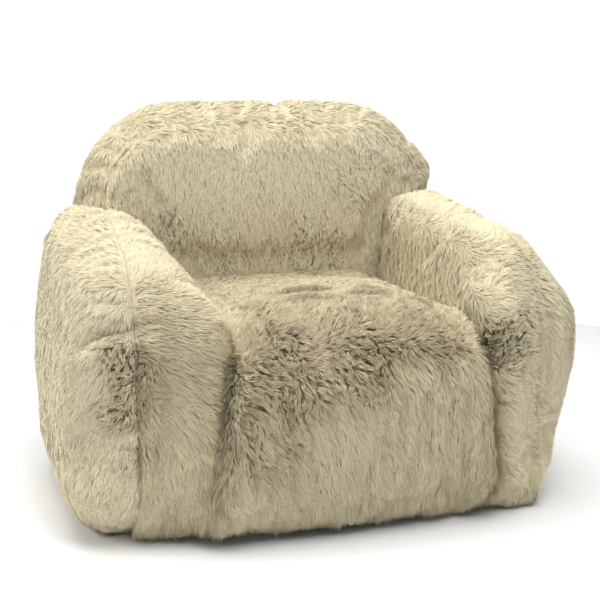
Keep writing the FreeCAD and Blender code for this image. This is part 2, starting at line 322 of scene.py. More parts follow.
def shaped_seat(points, normals):
    """The seat: crowned on top and in front, its sides filled out against the arms."""
    x, y, z = points.T
    across = 1 - (x / SEAT_HALF_WIDTH) ** 2
    edge = rise(np.abs(x) / SEAT_HALF_WIDTH, 0.74, 0.98)
    top = rise(normals[:, 2], 0.2, 0.9)
    front = rise(-normals[:, 1], 0.2, 0.9)
    near_front = rise(-y, 0.28, 0.37)
    near_top = rise(z, 0.31, 0.38)
    moved, (new_x, new_y, new_z) = copied(points)
    rounder = rise(x, 0.0, 0.1) * rise(z, 0.04, 0.4)
    edge = edge * (1 - 0.9 * rounder)
    spread = np.where(x < 0, 0.034, 0.022)
    new_x += np.sign(x) * edge * spread * np.maximum(near_front, near_top)
    new_y -= 0.01 * across * front * bump(z, 0.24, 0.16)
    new_y -= 0.02 * edge * near_front * rise(z, 0.03, 0.12)
    new_y += 0.046 * near_front * fall(z, 0.0, 0.11)
    new_z -= top * (0.006 + 0.014 * (1 - across) + 0.014 * rise(y, -0.05, 0.12))
    hem = near_front * fall(z, 0.0, 0.1) * fall(x, -0.28, 0.02)
    new_z += HEM_LIFT * hem
    return moved


def shaped_arm(points, normals):
    """An arm: full at mid height, crowned along its seam, its front close to the seat."""
    x, y, z = points.T
    side = np.sign(x[0])
    outer = rise(side * x, 0.33, 0.44)
    inner = fall(side * x, 0.25, 0.34)
    front = rise(-y, 0.2, 0.34)
    low = fall(z, 0.0, 0.12)
    crown = rise(z, 0.34, 0.51)
    belly = bump(z, 0.27 + 0.03 * side, 0.14 - 0.01 * side)
    moved, (new_x, new_y, new_z) = copied(points)
    new_x += side * outer * (0.029 - 0.002 * side) * belly
    new_x -= outer * (0.014 + 0.014 * side) * fall(z, 0.02, 0.26)
    new_x -= outer * 0.0075 * (1 - side) * bump(z, 0.09, 0.06)
    new_x -= outer * 0.011 * (1 + side) * fall(z, 0.0, 0.1)
    new_x -= side * outer * crown * (0.024 + 0.016 * side)
    new_x += side * inner * (0.014 * crown - (0.023 - 0.005 * side) * front * (1 - crown))
    new_y += front * (0.024 * outer * outer + (0.006 - 0.044 * side) * low)
    new_y -= front * (0.036 + 0.006 * side) * inner * (1 - crown)
    new_z += 0.01 * rise(normals[:, 2], 0.3, 0.9) - 0.02 * inner * crown
    new_z += 0.006 * (1 - side) * outer * rise(z, 0.25, 0.45)
    new_z += crown * (1 + side) * (0.016 * (1 - front) - 0.016 * outer)
    return moved


def shaped_backrest(points, normals):
    """The backrest: crowned in front and behind, gently arched, one shoulder fuller."""
    x, y, z = points.T
    across = 1 - (x / BACK_HALF_WIDTH) ** 2
    top = rise(normals[:, 2], 0.2, 0.9)
    front = rise(-normals[:, 1], 0.3, 0.9)
    rear = rise(normals[:, 1], 0.3, 0.9) * rise(z, 0.16, 0.34)
    moved, (new_x, new_y, new_z) = copied(points)
    new_z += 0.008 * across * top
    new_y -= 0.018 * across * front * bump(z, 0.52, 0.14)
    new_y += 0.01 * across * rear * bump(z, 0.42, 0.18)
    new_x += 0.012 * rise(z, 0.35, 0.6)
    new_x += 0.03 * rise(x, 0.25, 0.4) * bump(z, 0.52, 0.13)
    return moved


def swayed(points):
    """The front of the chair sagged a little to one side."""
    x, y, z = points.T
    ahead = rise(-y, 0.02, 0.34)
    middle = fall(np.abs(x), 0.24, 0.42)
    right = rise(x, -0.15, 0.15)
    shift = (1 - right) * 0.03 * bump(z, 0.31, 0.16)
    shift += right * (0.006 + 0.012 * fall(z, 0.02, 0.2))
    moved = points.copy()
    moved[:, 0] += ahead * middle * shift
    return moved


SHAPES = {
    "seat": shaped_seat,
    "left_arm": shaped_arm,
    "right_arm": shaped_arm,
    "backrest": shaped_backrest,
}


def voxel_form(chamber):
    """The chamber's stuffing as an even quad mesh."""
    form = link("form", NODES[f"{chamber}_fill"].data.copy())
    voxels = form.modifiers.new("voxels", "REMESH")
    voxels.mode = "VOXEL"
    voxels.voxel_size = VOXEL
    return applied(form)


def swollen(mesh, pinned):
    """The mesh blown out from inside, held where it is pinned."""
    form = link("swell", mesh.copy())
    group = form.vertex_groups.new(name="held")
    for index in np.flatnonzero(pinned > 0.02):
        group.add([int(index)], float(pinned[index]), "REPLACE")
    cloth = form.modifiers.new("cloth", "CLOTH")
    for setting, value in (
        ("quality", 4), ("mass", 0.4), ("use_pressure", True),
        ("uniform_pressure_force", SWELL_PRESSURE), ("tension_stiffness", 12),
        ("compression_stiffness", 12), ("bending_stiffness", 0.6), ("shrink_min", -0.06),
        ("vertex_group_mass", "held"),
    ):
        setattr(cloth.settings, setting, value)
    cloth.settings.effector_weights.gravity = 0
    cloth.collision_settings.use_collision = False
    scene = bpy.context.scene
    for number in range(1, SWELL_FRAMES + 1):
        scene.frame_set(number)
    result = rows_of(applied(form))
    scene.frame_set(1)
    return result


def clearance(points, trees, reach, beyond, signed=False):
    """Distance of each point from the nearest closed form; signed, below 0 inside."""
    gap = np.full(len(points), beyond)
    for tree in trees:
        for index, point in enumerate(points):
            place, normal, _, distance = tree.find_nearest(Vector(point), reach)
            if place is None:
                continue
            if signed:
                distance = math.copysign(distance, (Vector(point) - place).dot(normal))
            gap[index] = min(gap[index], distance)
    return gap


def chamber_forms():
    """The outside of each chamber's fabric, clear of its neighbours."""
    stuffing = {chamber: voxel_form(chamber) for chamber in CHAMBERS}
    trees = {chamber: tree_of(mesh) for chamber, mesh in stuffing.items()}
    forms = {}
    for chamber, mesh in stuffing.items():
        start = rows_of(mesh)
        outward = rows_of(mesh, "normal")
        others = [tree for name, tree in trees.items() if name != chamber]
        room = clearance(start, others, reach=0.15, beyond=1.0)
        target = SHAPES[chamber](start, outward) + outward * SKIN_RISE
        shaped = mesh.copy()
        move_points(shaped, target)
        seams = seam_distances(chamber, target)
        held = 0.9 * np.clip(1 - (room - 0.03) / 0.05, 0, 1)
        for distance in seams:
            held = np.maximum(held, SEAM_HOLD * bump(distance, 0, FURROW_WIDTH))
        target = target + capped(swollen(shaped, held) - target, SWELL_CAP)
        target -= outward * SKIN_TUCK
        furrow = BACK_FURROW if chamber == "backrest" else ARM_FURROW
        for distance in seams:
            target -= outward * (furrow * bump(distance, 0, FURROW_WIDTH))[:, None]
        most = np.where(room < NEIGHBOUR_REACH, np.maximum(room / 2 - NEIGHBOUR_GAP, 0), FREE_STEP)
        placed = swayed(start + capped(target - start, most))
        placed[:, 2] = np.maximum(placed[:, 2], LOWEST_SKIN)
        move_points(mesh, placed)
        smooth_shaded(mesh)
        forms[chamber] = mesh
    return forms


# ---- panels


def cut(work, point, normal, clear=False):
    """Cut an open mesh by a plane, and clear what lies behind it if asked."""
    bmesh.ops.bisect_plane(
        work, geom=work.verts[:] + work.edges[:] + work.faces[:], dist=1e-6,
        plane_co=point, plane_no=normal, clear_inner=clear,
    )


def closed_up(work, name="part"):
    """A mesh from an open one, which is freed."""
    mesh = bpy.data.meshes.new(name)
    work.to_mesh(mesh)
    work.free()
    return mesh


def kept_side(mesh, point, normal):
    """The part of a mesh in front of a plane."""
    work = bmesh.new()
    work.from_mesh(mesh)
    cut(work, point, normal, clear=True)
    return closed_up(work)


def arm_halves(mesh, side):
    """An arm's skin cut along its seam into its two panels."""
    start = Vector((side * ARM_SEAM_FRONT, ARM_FRONT, 0))
    end = Vector((side * ARM_SEAM_REAR, ARM_REAR, 0))
    outward = (end - start).cross(Vector((0, 0, side))).normalized()
    return kept_side(mesh, start, -outward), kept_side(mesh, start, outward)


def backrest_bands(mesh):
    """The backrest's skin cut into its four panels."""
    front_seam, rear_seam = (0, BACK_FRONT_SEAM, 0), (0, BACK_REAR_SEAM, 0)
    zip_line = (0, 0, ZIP_HEIGHT)
    back, ahead, up, down = (0, 1, 0), (0, -1, 0), (0, 0, 1), (0, 0, -1)
    rear = kept_side(mesh, rear_seam, back)
    return {
        "backrest_front_panel": kept_side(mesh, front_seam, ahead),
        "backrest_gusset": kept_side(kept_side(mesh, front_seam, back), rear_seam, ahead),
        "backrest_rear_panel": kept_side(rear, zip_line, up),
        "rear_skirt_panel": kept_side(rear, zip_line, down),
    }


def without_slot(mesh):
    """A rear panel with the zip's slot cut out of it."""
    low, high = box_of("zip_tape_lower")[0], box_of("zip_tape_upper")[1]
    work = bmesh.new()
    work.from_mesh(mesh)
    for axis in (0, 2):
        for place in (low[axis], high[axis]):
            point, normal = Vector(), Vector()
            point[axis], normal[axis] = place, 1
            cut(work, point, normal)
    inside = [
        face for face in work.faces
        if all(low[axis] < face.calc_center_median()[axis] < high[axis] for axis in (0, 2))
    ]
    bmesh.ops.delete(work, geom=inside, context="FACES")
    return closed_up(work)


def panel_meshes(forms):
    """The outside of every panel of the cover, by the name of its CAD node."""
    panels = {"seat_front_panel": forms["seat"]}
    for side, name in ((-1, "left_arm"), (1, "right_arm")):
        for face, half in zip(("inner", "outer"), arm_halves(forms[name], side)):
            panels[f"{name}_{face}_panel"] = half
    panels.update(backrest_bands(forms["backrest"]))
    for name in ("backrest_rear_panel", "rear_skirt_panel"):
        panels[name] = without_slot(panels[name])
    return panels


def dressed(piece, body, stands_for=None):
    """Put a piece on its body, in place of a CAD node if it has one."""
    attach(piece, body)
    if stands_for:
        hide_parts(stands_for)
    return piece


def only_material(mesh, material):
    """Smooth shading and a single material."""
    mesh.materials.clear()
    mesh.materials.append(material)
    smooth_shaded(mesh)


def thickened(piece, thickness, offset=0):
    """The piece as closed cloth of a thickness, both ways or inwards only."""
    solid = piece.modifiers.new("thick", "SOLIDIFY")
    solid.thickness = thickness
    solid.offset = offset
    name = piece.name
    mesh = applied(piece)
    smooth_shaded(mesh)
    return link(name, mesh)


def make_skin(name, mesh, material):
    """A panel's fabric, as thick cloth."""
    cloth = mesh.copy()
    only_material(cloth, material)
    skin = thickened(link(f"{name}_skin", cloth), SKIN_THICKNESS, offset=-1)
    dressed(skin, CHAIR, name)


def make_inside(name, form, depth, material):
    """A closed form under a chamber's skin: its inner bag or the stuffing."""
    mesh = form.copy()
    move_points(mesh, rows_of(form) - rows_of(form, "normal") * depth)
    only_material(mesh, material)
    dressed(link(f"{name}_soft", mesh), CHAIR, name)


# ---- pile

# Patches brushed the wrong way, where the dark roots show, on each panel: a place in the
# panel's box as fractions of its size, a radius in metres and a strength.
RUFFLES = {
    "seat_front_panel": (
        ((0.22, 0.09, 0.88), 0.1, 0.75),
        ((0.5, 0.1, 0.91), 0.1, 0.85),
        ((0.8, 0.1, 0.9), 0.09, 0.75),
        ((0.18, 0.03, 0.72), 0.1, 0.72),
        ((0.48, 0.02, 0.72), 0.07, 0.65),
        ((0.54, 0.03, 0.79), 0.05, 0.95),
        ((0.64, 0.06, 0.86), 0.04, 0.85),
        ((0.85, 0.08, 0.86), 0.04, 0.8),
        ((0.14, 0.02, 0.45), 0.07, 0.5),
        ((0.3, 0.27, 1.0), 0.1, 0.55),
        ((0.62, 0.28, 1.0), 0.1, 0.62),
    ),
    "left_arm_outer_panel": (
        ((0.56, 0.03, 0.6), 0.05, 0.95),
        ((0.5, 0.03, 0.46), 0.05, 0.8),
        ((0.66, 0.02, 0.32), 0.035, 0.5),
    ),
    "right_arm_inner_panel": (
        ((0.42, 0.03, 0.6), 0.065, 1.0),
        ((0.15, 0.03, 0.42), 0.035, 0.6),
        ((0.15, 0.03, 0.28), 0.035, 0.5),
    ),
    "backrest_front_panel": (
        ((0.61, 0.0, 0.61), 0.08, 0.45),
        ((0.38, 0.0, 0.58), 0.07, 0.3),
        ((0.74, 0.0, 0.82), 0.07, 0.28),
        ((0.25, 0.0, 0.69), 0.05, 0.38),
    ),
    "backrest_rear_panel": (
        ((0.4, 1.0, 0.6), 0.09, 0.2),
    ),
}

# The pile of each panel: how it is combed where it faces up, high on its sides and low down;
# how smoothly it is brushed all over; how far it hangs down at the floor; and how much lighter
# or darker its hair is painted than the rest, on its sides and on top, as painted light and shade.
PILES = {
    "seat_front_panel": (
        ((0.75, 0.65, 0.0), (0.55, -0.55, -0.8), (0.12, -0.2, -1.0)),
        0.0, 1.0, (-1.2, -2.2)),
    "left_arm_inner_panel": (
        ((0.35, 0.9, 0.0), (1.0, 0.1, -0.35), (0.18, -0.3, -1.0)),
        0.2, 1.0, (-1.3, 0.0)),
    "left_arm_outer_panel": (
        ((-0.45, 0.85, 0.0), (-0.15, 0.35, -0.9), (-0.25, -0.1, -1.0)),
        0.6, 0.15, (0.5, 0.5)),
    "right_arm_inner_panel": (
        ((0.45, 0.9, 0.0), (0.9, 0.05, -0.45), (0.9, -0.1, -0.6)),
        0.8, 1.0, (0.6, 0.7)),
    "right_arm_outer_panel": (
        ((0.45, 0.9, -0.1), (0.6, 0.35, -0.75), (0.7, 0.2, -0.7)),
        0.7, 0.15, (0.4, 0.5)),
    "backrest_front_panel": (
        ((0.95, 0.15, -0.3), (0.12, -0.3, -1.0), (0.05, -0.3, -1.0)),
        0.7, 0.15, (2.2, -0.4)),
    "backrest_gusset": (
        ((0.95, 0.25, -0.1), (0.3, 0.45, -0.9), (0.0, 0.2, -1.0)),
        0.6, 0.15, (0.0, -0.4)),
    "backrest_rear_panel": (
        ((0.0, 0.5, -1.0), (0.0, 0.5, -1.0), (0.0, 0.3, -1.0)),
        0.4, 0.15, (0.0, 0.0)),
    "rear_skirt_panel": (
        ((0.0, 0.3, -1.0), (0.0, 0.3, -1.0), (0.0, 0.1, -1.0)),
        0.3, 0.15, (0.0, 0.0)),
}
FLOW_LOW = 0.15
FLOW_HIGH = 0.32
FLOW_FACING_UP = (0.55, 0.85)

LOBE_WIDTH = 0.045
LOBE_HEIGHT = 0.022
STREAK_WIDTH = 0.01
STREAK_STRETCH = np.array([1.0, 1.0, 0.16])

# Short wrinkles where the cover folds, on each panel: the axis that they are looked at along,
# and for each its size against a plain wrinkle's and its two ends as fractions of the box.
# The hair is sunk or folded up along each wrinkle, and its tips are darkened there with painted
# shade.
WRINKLES = {
    "seat_front_panel": (2, (
        (2.4, (0.31, 0.44, 1.0), (0.63, 0.48, 1.0)),
        (2.2, (0.66, 0.45, 1.0), (0.84, 0.4, 1.0)),
        (2.1, (0.34, 0.33, 1.0), (0.56, 0.28, 1.0)),
        (2.1, (0.78, 0.29, 1.0), (0.93, 0.22, 1.0)),
        (2.0, (0.58, 0.34, 1.0), (0.78, 0.31, 1.0)),
    )),
    "left_arm_outer_panel": (0, (
        (1.0, (0.0, 0.3, 0.66), (0.0, 0.22, 0.44)),
        (1.0, (0.0, 0.38, 0.5), (0.0, 0.26, 0.28)),
    )),
}
WRINKLE_WIDTH = 0.0045
WRINKLE_DEPTH = 0.0035
FOLD_BEHIND = np.array([0.0, 0.014, 0.0])  # the seat's cover stands up in a fold behind each
FOLD_HEIGHT = 0.0042
CREASE_PAINTED_SHADE = 1.65  # in creases deeper than this the hair is painted as dark as at its roots, a painted shade


def scattered(mesh, per_square_metre, random):
    """Points spread evenly over a mesh, with the surface's normals there."""
    mesh.calc_loop_triangles()
    corners = np.empty(len(mesh.loop_triangles) * 3, np.int32)
    mesh.loop_triangles.foreach_get("vertices", corners)
    corners = corners.reshape(-1, 3)
    points, outward = rows_of(mesh), rows_of(mesh, "normal")
    a, b, c = (points[corners[:, i]] for i in range(3))
    area = np.linalg.norm(np.cross(b - a, c - a), axis=1) / 2
    count = int(area.sum() * per_square_metre)
    chosen = random.choice(len(area), count, p=area / area.sum())
    u, v = random.random((2, count, 1))
    flip = u + v > 1
    u, v = np.where(flip, 1 - u, u), np.where(flip, 1 - v, v)
    weights = np.stack([1 - u - v, u, v])
    places = sum(weights[i] * points[corners[chosen, i]] for i in range(3))
    directions = unit(sum(weights[i] * outward[corners[chosen, i]] for i in range(3)))
    return places, directions


def place_in(panel, fractions):
    """A place in a panel's box, given as fractions of the box's size."""
    low, high = box_of(panel)
    return low + (high - low) * np.array(fractions)


def ruffled(points):
    """How ruffled the pile is at each point, from 0 to 1."""
    total = np.zeros(len(points))
    edge = 1 + 0.35 * noise(points, 0.04, 11)
    for panel, patches in RUFFLES.items():
        for fractions, radius, strength in patches:
            gap = np.linalg.norm(points - place_in(panel, fractions), axis=1)
            reach = gap / (radius * edge)
            total = np.maximum(total, strength * fall(reach, 0.5, 1.2))
    return total


def wrinkled(panel, points, outward):
    """How deep in a wrinkle of the panel each point is; 1 is the bottom of a plain one."""
    total = np.zeros(len(points))
    if "_arm_" in panel:
        seam = np.abs(np.abs(points[:, 0]) - arm_seam_x(points[:, 1]))
        ahead = rise(-outward[:, 1], 0.3, 0.8) * rise(points[:, 2], 0.03, 0.12)
        total = bump(seam, 0, 0.8 * WRINKLE_WIDTH) * (0.05 + 0.95 * ahead)
    if panel not in WRINKLES:
        return total
    axis, lines = WRINKLES[panel]
    wander = np.stack([noise(points, 0.04, seed) for seed in (51, 52, 53)], axis=1)
    wandering = points + 0.008 * wander
    for size, *ends in lines:
        start, end = (place_in(panel, fractions) for fractions in ends)
        level = wandering - start
        run = end - start
        level[:, axis] = run[axis] = 0
        part = np.clip(level @ run / (run @ run), 0, 1)
        gap = np.linalg.norm(level - part[:, None] * run, axis=1)
        facing = rise(np.abs(outward[:, axis]), 0.3, 0.6)
        fade = 1 - np.abs(2 * part - 1) ** 3
        total = np.maximum(total, size * bump(gap, 0, size * WRINKLE_WIDTH) * facing * fade)
    return total


def trimmed(points):
    """How much of its length the pile keeps: less by the zip and the care label."""
    x, y, z = points.T
    behind = y > BACK_REAR_SEAM
    low, high = box_of("zip_tape_lower")[0], box_of("zip_tape_upper")[1]
    past_end = np.maximum(np.abs(x) - high[0], 0)
    above = np.hypot(past_end, np.maximum(z - high[2], low[2] - z))
    by_zip = rise(above, 0.0, ZIP_TRIM)
    label_low, label_high = box_of("care_label")
    beside = np.maximum(np.abs(x - (label_low[0] + label_high[0]) / 2) - 0.014, 0)
    outside = np.maximum(np.maximum(z - label_high[2] - 0.012, label_low[2] - 0.004 - z), 0)
    by_label = rise(np.hypot(beside, outside), 0.0, 0.012)
    kept = np.minimum(SHORTEST + (1 - SHORTEST) * by_zip, 0.35 + 0.65 * by_label)
    return np.where(behind, kept, 1.0)


def turned(tangents, outward, angle):
    """Each tangent turned about its normal."""
    across = np.cross(outward, tangents)
    return tangents * np.cos(angle)[:, None] + across * np.sin(angle)[:, None]


def combed(points, outward, flow, hanging, ruffle, calm, crowd):
    """The way the pile lies at each point."""
    top_flow, high_flow, low_flow = (np.array(direction) for direction in flow)
    height = rise(points[:, 2], FLOW_LOW, FLOW_HIGH)[:, None]
    pull = low_flow + (high_flow - low_flow) * height
    pull += (top_flow - pull) * rise(outward[:, 2], *FLOW_FACING_UP)[:, None]
    pull[:, 1] *= rise(points[:, 2], 0.03, 0.12) * 1.4 - 0.4
    tangents = unit(pull - outward * np.sum(outward * pull, axis=1, keepdims=True))
    hang = rise(-outward[:, 2], 0.05, 0.45) * fall(points[:, 2], 0.04, 0.09)
    hang *= hanging
    tangents = unit(tangents + 1.6 * hang[:, None] * (np.array([0.0, 0.0, -1.0]) - tangents))
    out = crowd * rise(-points[:, 1], 0.18, 0.3)
    tangents = unit(tangents + 0.25 * out[:, None] * (np.array([0.0, -1.0, -0.2]) - tangents))
    swirl = 0.35 * noise(points, 0.15, 21) + 0.18 * noise(points, 0.05, 22)
    swirl += ruffle * (1.3 * noise(points, 0.06, 23) + 1.2 * noise(points, 0.018, 24))
    return turned(tangents, outward, swirl * (1 - 0.7 * calm))


def blade_mesh(name, rings, tones, roots, outward, relief, materials):
    """One mesh of hair blades, each a root quad and a tip triangle."""
    count = len(tones)
    mesh = bpy.data.meshes.new(name)
    mesh.vertices.add(count * 5)
    mesh.vertices.foreach_set("co", np.stack(rings, axis=1).ravel())
    first = np.arange(count)[:, None] * 5
    loops = first + np.array([0, 1, 2, 3, 3, 2, 4])
    mesh.loops.add(count * 7)
    mesh.loops.foreach_set("vertex_index", loops.ravel().astype(np.int32))
    mesh.polygons.add(count * 2)
    starts = np.arange(count)[:, None] * 7 + np.array([0, 4])
    mesh.polygons.foreach_set("loop_start", starts.ravel().astype(np.int32))
    slots = np.stack([roots, tones], axis=1)
    mesh.polygons.foreach_set("material_index", slots.ravel().astype(np.int32))
    mesh.polygons.foreach_set("use_smooth", np.ones(count * 2, bool))
    for material in materials:
        mesh.materials.append(material)
    mesh.update(calc_edges=True)
    root_left, root_right, _, middle_left, _ = rings
    flat = unit(np.cross(root_right - root_left, middle_left - root_left))
    soft = unit(outward + relief[:, None] * flat)
    mesh.normals_split_custom_set_from_vertices(np.repeat(soft, 5, axis=0))
    return mesh


def nearest_tufts(points, random):
    """The index of each point's tuft: the nearest of a few of the points."""
    leaders = random.choice(len(points), max(len(points) // BLADES_PER_TUFT, 1), replace=False)
    finder = KDTree(len(leaders))
    for position, leader in enumerate(leaders):
        finder.insert(points[leader], position)
    finder.balance()
    return leaders, np.array([finder.find(point)[1] for point in points])


def make_pile(name, mesh, others, materials, seed):
    """The combed pile on one panel."""
    flow, smoothness, hanging, (side_painted_light, top_painted_light) = PILES[name]
    on_seat = name == "seat_front_panel"
    random = np.random.default_rng(seed)
    points, outward = scattered(mesh, BLADES_PER_SQUARE_METRE, random)
    lifted = points + outward * 0.006
    gap = clearance(lifted, others, CROWD_REACH, CROWD_REACH, signed=True)
    seen = (gap > -0.004) & (points[:, 2] > 0.006)
    points, outward = points[seen], outward[seen]
    crowd = fall(gap[seen], 0.01, 0.045)
    crowd *= 0.2 + 0.8 * rise(-points[:, 1], 0.15, 0.28)
    count = len(points)
    ruffle = ruffled(points)
    calm = np.maximum(rise(outward[:, 2], 0.3, 0.8), smoothness) * (1 - ruffle)
    along = combed(points, outward, flow, hanging, ruffle, calm, crowd)
    leaders, tuft = nearest_tufts(points, random)
    tuft_turn = random.normal(0, 1, len(leaders))
    tuft_tone = random.normal(0, 1, len(leaders))
    turn = tuft_turn[tuft] * (0.16 + 0.3 * ruffle - 0.08 * calm) + random.normal(0, 0.16, count)
    along = turned(along, outward, turn)
    streak = noise(points * STREAK_STRETCH, STREAK_WIDTH, 32) * (1 - 0.8 * calm)
    length = BLADE_LENGTH * (1 + 0.18 * noise(points, 0.03, 31)) * random.uniform(0.8, 1.15, count)
    length *= (1 - 0.2 * ruffle) * (1 + 0.12 * streak) * (1 + 0.4 * crowd) * trimmed(points)
    upright = 0.5 * ruffle + 0.35 * crowd - 0.25 * calm + 0.1 * streak
    upright = np.clip(upright + random.normal(0, 0.07, count), -0.3, 0.8)
    lean_root = (LEAN_AT_ROOT * (1 - upright))[:, None]
    lean_tip = (LEAN_AT_TIP * (1 - 0.6 * upright))[:, None]
    half = length[:, None] / 2
    root = points - outward * ROOT_DEPTH
    middle = root + half * (np.cos(lean_root) * outward + np.sin(lean_root) * along)
    tip = middle + half * (np.cos(lean_tip) * outward + np.sin(lean_tip) * along)
    pull = (TUFT_PULL * (1 - 0.6 * calm) + RUFFLED_PULL * ruffle)[:, None]
    pull = pull * random.uniform(0.5, 1.0, (count, 1))
    tip += pull * (tip[leaders[tuft]] - tip)
    middle += 0.35 * pull * (middle[leaders[tuft]] - middle)
    twist = random.normal(0, 0.3, count)
    across = turned(unit(np.cross(along, outward)), unit(tip - root), twist)
    width = across * (BLADE_WIDTH / 2) * random.uniform(0.7, 1.2, (count, 1))
    rings = [root - width, root + width, middle + width * 0.9, middle - width * 0.9, tip]
    crease_shade = wrinkled(name, tip - 0.6 * FOLD_BEHIND if on_seat else tip, outward)
    lowest = FLOOR_CLEARANCE + LOBE_HEIGHT * hanging * np.maximum(noise(root, LOBE_WIDTH, 33), 0)
    if on_seat:
        lowest += 0.5 * HEM_LIFT * fall(points[:, 0], -0.28, 0.02)
    for ring in rings:
        sunk = WRINKLE_DEPTH * wrinkled(name, ring, outward)
        if on_seat:
            sunk = 0.3 * sunk - FOLD_HEIGHT * wrinkled(name, ring - FOLD_BEHIND, outward)
        ring -= outward * sunk[:, None]
        ring[:, 2] = np.maximum(ring[:, 2], lowest)
    # Painted light: each panel's tips are made lighter or darker on its sides and on top, standing
    # in for how the lamps fall there.
    tone = MIDDLE_TONE + side_painted_light + (top_painted_light - side_painted_light) * rise(outward[:, 2], 0.2, 0.8)
    # Painted light: where another chamber crowds close, the tips are lightened to lift the shade in
    # the groove.
    # Painted shade: tips in wrinkles and along the arms' seams are darkened.
    tone += 0.3 * noise(points, 0.06, 41) + 1.2 * streak - 1.5 * ruffle - 2.6 * crease_shade + 1.2 * crowd
    tone += (0.15 + 0.5 * ruffle - 0.1 * calm) * tuft_tone[tuft]
    tone += random.normal(0, 0.3, count) * (1 - 0.5 * calm)
    tones = ROOT_TONES + np.clip(np.round(tone), 0, TIP_TONES - 1).astype(int)
    # Painted shade: tips in the deepest wrinkles take a dark root colour.
    tones = np.where(crease_shade > CREASE_PAINTED_SHADE, 1, tones)
    # Painted shade: roots in wrinkles are darkened too.
    root_tone = 2.9 - 2.8 * ruffle + 0.4 * noise(points, 0.04, 42) + 0.9 * streak - 2.0 * crease_shade
    # Painted light: roots where chambers crowd together are lightened to lift the groove's shade.
    root_tone += 0.5 * calm + 1.6 * crowd
    root_tone += random.normal(0, 0.3, count)
    roots = np.clip(np.round(root_tone), 0, ROOT_TONES - 1).astype(int)
    relief = BLADE_RELIEF * (1 - 0.6 * calm)
    pieces = math.ceil(count / BLADES_PER_PIECE)
    order = np.array_split(np.argsort(points[:, 0] + 0.4 * points[:, 2], kind="stable"), pieces)
    for number, lot in enumerate(order, start=1):
        title = f"{name}_pile_{number}"
        mesh = blade_mesh(title, [ring[lot] for ring in rings], tones[lot], roots[lot],
                          outward[lot], relief[lot], materials)
        dressed(link(title, mesh), CHAIR)


# ---- base, zip and label

BASE_RISE = 0.0006  # the base cloth's underside over the floor
BASE_CLOTH = 0.0014
BASE_CORNER = 0.06
HEM_INSET = 0.012
GRIP_MARGIN = 0.018
GRIP_PITCH = 0.02
GRIP_SIDES = 10
GRIP_RINGS = ((0.0022, BASE_RISE + 0.0004), (0.00176, 0.0002), (0.00099, 0.0001))
STITCH_PITCH = 0.004
STITCH_LENGTH = 0.003
STITCH_RADIUS = 0.0004
COIL_PITCH = 0.0015
COIL_WIRE = 0.00032
TAPE_THICKNESS = 0.0007
LABEL_CLOTH = 0.0004


def mesh_of(name, points, faces, material):
    """An object made of points and faces."""
    mesh = bpy.data.meshes.new(name)
    mesh.from_pydata([tuple(point) for point in points], [], [tuple(face) for face in faces])
    mesh.update()
    mesh.materials.append(material)
    return link(name, mesh)


def make_cloth(name, points, columns, thickness, material, node):
    """A sheet of cloth from rows of points, in place of its CAD node."""
    faces = [(k, k + 1, k + columns + 1, k + columns)
             for k in range(len(points) - columns) if (k + 1) % columns]
    cloth = thickened(mesh_of(name, points, faces, material), thickness)
    return dressed(cloth, CHAIR, node)


def ring_faces(start, rings, sides):
    """Quads between rings of points numbered from start, and a cap at each end."""
    last = start + (rings - 1) * sides
    faces = [
        (first + j, first + (j + 1) % sides, first + sides + (j + 1) % sides, first + sides + j)
        for first in range(start, last, sides) for j in range(sides)
    ]
    return faces + [tuple(reversed(range(start, start + sides))), tuple(range(last, last + sides))]


def tube(path, radius, sides, start=0):
    """A closed-ended tube along a path: its points and faces, numbered from start."""
    path = np.array(path)
    run = unit(np.gradient(path, axis=0))
    side = unit(np.cross(run, np.array([0.31, 0.17, 0.93])))
    up = np.cross(run, side)
    angles = np.linspace(0, 2 * math.pi, sides, endpoint=False)
    rings = (path[:, None] + radius * (np.cos(angles)[None, :, None] * side[:, None]
                                       + np.sin(angles)[None, :, None] * up[:, None]))
    return rings.reshape(-1, 3), ring_faces(start, len(path), sides)


def make_wire(name, path, radius, sides, material, body, stands_for=None):
    """A round wire along a path."""
    wire = mesh_of(name, *tube(path, radius, sides), material)
    smooth_shaded(wire.data)
    dressed(wire, body, stands_for)


def make_stitches(name, line, lift, material):
    """A row of stitches along a line, each a short thread that dips at its ends."""
    line = np.array(line)
    steps = np.linalg.norm(np.diff(line, axis=0), axis=1)
    travelled = np.concatenate([[0], np.cumsum(steps)])
    points, faces = [], []
    for centre in np.arange(STITCH_PITCH / 2, travelled[-1], STITCH_PITCH):
        along = centre + STITCH_LENGTH * np.linspace(-0.5, 0.5, 5)
        path = np.stack([np.interp(along, travelled, line[:, axis]) for axis in range(3)], axis=1)
        path += np.array(lift) * np.array([-1.0, 0.2, 0.6, 0.2, -1.0])[:, None] * STITCH_RADIUS
        ring_points, ring_faces = tube(path, STITCH_RADIUS, 6, len(points))
        points.extend(ring_points)
        faces.extend(ring_faces)
    stitches = mesh_of(name, points, faces, material)
    smooth_shaded(stitches.data)
    return dressed(stitches, CHAIR)


def rounded_outline(straight_x, straight_y, radius):
    """A closed loop round a rectangle, rounded outside the rectangle's corners."""
    loop = []
    for turn, (sx, sy) in enumerate(((1, 1), (-1, 1), (-1, -1), (1, -1))):
        for angle in np.linspace(0, math.pi / 2, 9) + turn * math.pi / 2:
            loop.append((sx * straight_x + radius * math.cos(angle),
                         sy * straight_y + radius * math.sin(angle)))
    return loop + loop[:1]


